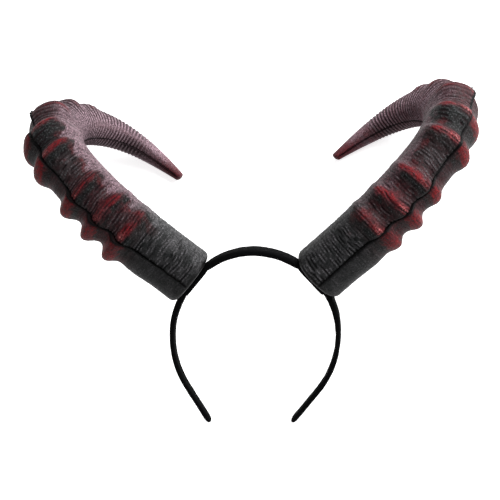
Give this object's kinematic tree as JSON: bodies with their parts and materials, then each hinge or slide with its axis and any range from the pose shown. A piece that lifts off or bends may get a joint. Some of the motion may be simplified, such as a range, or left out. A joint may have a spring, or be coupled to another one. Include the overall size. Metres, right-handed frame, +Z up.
{
  "type": "costume headband with horns",
  "caption": "Costume headband: a thin cloth-covered band that carries large ridged foam horns, which curl backwards, shown lying on its back.",
  "frame": {"origin": "middle of the bottom of the bounding box, on the surface that the headband lies on", "axes": "+Z up from that surface, +X across the horns to the picture's right, +Y from the band's free ends towards the horns"},
  "size_m": [0.3596, 0.2642, 0.1248],
  "materials": {
    "horn_foam": "pressed foam, charcoal with dry-brushed dark red on the ridges, dull satin",
    "band_cloth": "black woven cloth wrapped round the band, slight sheen",
    "patch_cloth": "matte black felt"
  },
  "bodies": {
    "root": {"headband": "band_cloth", "left_seat_patch": "patch_cloth", "left_horn_outer_half": "horn_foam", "left_horn_inner_half": "horn_foam", "right_seat_patch": "patch_cloth", "right_horn_outer_half": "horn_foam", "right_horn_inner_half": "horn_foam"}
  },
  "joints": []
}
